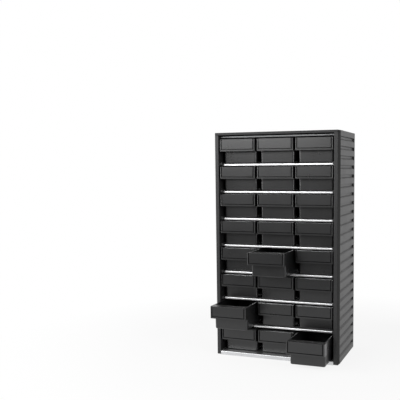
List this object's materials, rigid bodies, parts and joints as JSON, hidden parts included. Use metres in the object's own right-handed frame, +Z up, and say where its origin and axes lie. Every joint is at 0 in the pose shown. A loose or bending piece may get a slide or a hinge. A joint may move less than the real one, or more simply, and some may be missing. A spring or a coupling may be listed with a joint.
{
  "type": "parts bin cabinet",
  "caption": "Upright parts cabinet with ribbed moulded side panels, zinc-coated sheet shelves and rows of pull-out drawers with hooded grips and label holders, some of them pulled out.",
  "frame": {"origin": "middle of the cabinet footprint, on the surface it stands on", "axes": "+X to the right seen from the front, +Y to the back, +Z up; the drawers open along -Y"},
  "size_m": [0.31, 0.254, 0.55],
  "materials": {
    "panel_plastic": "moulded, slightly textured",
    "drawer_plastic": "moulded, satin",
    "zinc_sheet": "zinc-coated",
    "top_sheet": "light grey, satin",
    "back_sheet": "light grey, satin",
    "screw_steel": "zinc-coated"
  },
  "bodies": {
    "cabinet": {"side_panel_left": "panel_plastic", "side_panel_right": "panel_plastic", "top_front_rail": "panel_plastic", "top_rear_rail": "panel_plastic", "top_plate": "top_sheet", "shelf_1": "zinc_sheet", "shelf_2": "zinc_sheet", "shelf_3": "zinc_sheet", "shelf_4": "zinc_sheet", "shelf_5": "zinc_sheet", "shelf_6": "zinc_sheet", "shelf_7": "zinc_sheet", "bottom_plate": "zinc_sheet", "back_panel": "back_sheet", "back_screws": "screw_steel"},
    "drawer_r1_c1": {"drawer_r1_c1": "drawer_plastic"},
    "drawer_r1_c2": {"drawer_r1_c2": "drawer_plastic"},
    "drawer_r1_c3": {"drawer_r1_c3": "drawer_plastic"},
    "drawer_r2_c1": {"drawer_r2_c1": "drawer_plastic"},
    "drawer_r2_c2": {"drawer_r2_c2": "drawer_plastic"},
    "drawer_r2_c3": {"drawer_r2_c3": "drawer_plastic"},
    "drawer_r3_c1": {"drawer_r3_c1": "drawer_plastic"},
    "drawer_r3_c2": {"drawer_r3_c2": "drawer_plastic"},
    "drawer_r3_c3": {"drawer_r3_c3": "drawer_plastic"},
    "drawer_r4_c1": {"drawer_r4_c1": "drawer_plastic"},
    "drawer_r4_c2": {"drawer_r4_c2": "drawer_plastic"},
    "drawer_r4_c3": {"drawer_r4_c3": "drawer_plastic"},
    "drawer_r5_c1": {"drawer_r5_c1": "drawer_plastic"},
    "drawer_r5_c2": {"drawer_r5_c2": "drawer_plastic"},
    "drawer_r5_c3": {"drawer_r5_c3": "drawer_plastic"},
    "drawer_r6_c1": {"drawer_r6_c1": "drawer_plastic"},
    "drawer_r6_c2": {"drawer_r6_c2": "drawer_plastic"},
    "drawer_r6_c3": {"drawer_r6_c3": "drawer_plastic"},
    "drawer_r7_c1": {"drawer_r7_c1": "drawer_plastic"},
    "drawer_r7_c2": {"drawer_r7_c2": "drawer_plastic"},
    "drawer_r7_c3": {"drawer_r7_c3": "drawer_plastic"},
    "drawer_r8_c1": {"drawer_r8_c1": "drawer_plastic"},
    "drawer_r8_c2": {"drawer_r8_c2": "drawer_plastic"},
    "drawer_r8_c3": {"drawer_r8_c3": "drawer_plastic"}
  },
  "joints": [
    {"name": "drawer_r1_c1_slide", "type": "slide", "parent": "cabinet", "child": "drawer_r1_c1", "axis": [0, -1, 0], "range_m": [0, 0.153]},
    {"name": "drawer_r1_c2_slide", "type": "slide", "parent": "cabinet", "child": "drawer_r1_c2", "axis": [0, -1, 0], "range_m": [0, 0.153]},
    {"name": "drawer_r1_c3_slide", "type": "slide", "parent": "cabinet", "child": "drawer_r1_c3", "axis": [0, -1, 0], "range_m": [0, 0.153]},
    {"name": "drawer_r2_c1_slide", "type": "slide", "parent": "cabinet", "child": "drawer_r2_c1", "axis": [0, -1, 0], "range_m": [0, 0.153]},
    {"name": "drawer_r2_c2_slide", "type": "slide", "parent": "cabinet", "child": "drawer_r2_c2", "axis": [0, -1, 0], "range_m": [0, 0.153]},
    {"name": "drawer_r2_c3_slide", "type": "slide", "parent": "cabinet", "child": "drawer_r2_c3", "axis": [0, -1, 0], "range_m": [0, 0.153]},
    {"name": "drawer_r3_c1_slide", "type": "slide", "parent": "cabinet", "child": "drawer_r3_c1", "axis": [0, -1, 0], "range_m": [0, 0.153]},
    {"name": "drawer_r3_c2_slide", "type": "slide", "parent": "cabinet", "child": "drawer_r3_c2", "axis": [0, -1, 0], "range_m": [0, 0.153]},
    {"name": "drawer_r3_c3_slide", "type": "slide", "parent": "cabinet", "child": "drawer_r3_c3", "axis": [0, -1, 0], "range_m": [0, 0.153]},
    {"name": "drawer_r4_c1_slide", "type": "slide", "parent": "cabinet", "child": "drawer_r4_c1", "axis": [0, -1, 0], "range_m": [0, 0.153]},
    {"name": "drawer_r4_c2_slide", "type": "slide", "parent": "cabinet", "child": "drawer_r4_c2", "axis": [0, -1, 0], "range_m": [0, 0.153]},
    {"name": "drawer_r4_c3_slide", "type": "slide", "parent": "cabinet", "child": "drawer_r4_c3", "axis": [0, -1, 0], "range_m": [0, 0.153]},
    {"name": "drawer_r5_c1_slide", "type": "slide", "parent": "cabinet", "child": "drawer_r5_c1", "axis": [0, -1, 0], "range_m": [0, 0.153]},
    {"name": "drawer_r5_c2_slide", "type": "slide", "parent": "cabinet", "child": "drawer_r5_c2", "axis": [0, -1, 0], "range_m": [-0.07, 0.083]},
    {"name": "drawer_r5_c3_slide", "type": "slide", "parent": "cabinet", "child": "drawer_r5_c3", "axis": [0, -1, 0], "range_m": [0, 0.153]},
    {"name": "drawer_r6_c1_slide", "type": "slide", "parent": "cabinet", "child": "drawer_r6_c1", "axis": [0, -1, 0], "range_m": [0, 0.153]},
    {"name": "drawer_r6_c2_slide", "type": "slide", "parent": "cabinet", "child": "drawer_r6_c2", "axis": [0, -1, 0], "range_m": [0, 0.153]},
    {"name": "drawer_r6_c3_slide", "type": "slide", "parent": "cabinet", "child": "drawer_r6_c3", "axis": [0, -1, 0], "range_m": [0, 0.153]},
    {"name": "drawer_r7_c1_slide", "type": "slide", "parent": "cabinet", "child": "drawer_r7_c1", "axis": [0, -1, 0], "range_m": [-0.068, 0.085]},
    {"name": "drawer_r7_c2_slide", "type": "slide", "parent": "cabinet", "child": "drawer_r7_c2", "axis": [0, -1, 0], "range_m": [0, 0.153]},
    {"name": "drawer_r7_c3_slide", "type": "slide", "parent": "cabinet", "child": "drawer_r7_c3", "axis": [0, -1, 0], "range_m": [0, 0.153]},
    {"name": "drawer_r8_c1_slide", "type": "slide", "parent": "cabinet", "child": "drawer_r8_c1", "axis": [0, -1, 0], "range_m": [0, 0.153]},
    {"name": "drawer_r8_c2_slide", "type": "slide", "parent": "cabinet", "child": "drawer_r8_c2", "axis": [0, -1, 0], "range_m": [0, 0.153]},
    {"name": "drawer_r8_c3_slide", "type": "slide", "parent": "cabinet", "child": "drawer_r8_c3", "axis": [0, -1, 0], "range_m": [-0.075, 0.078]}
  ]
}
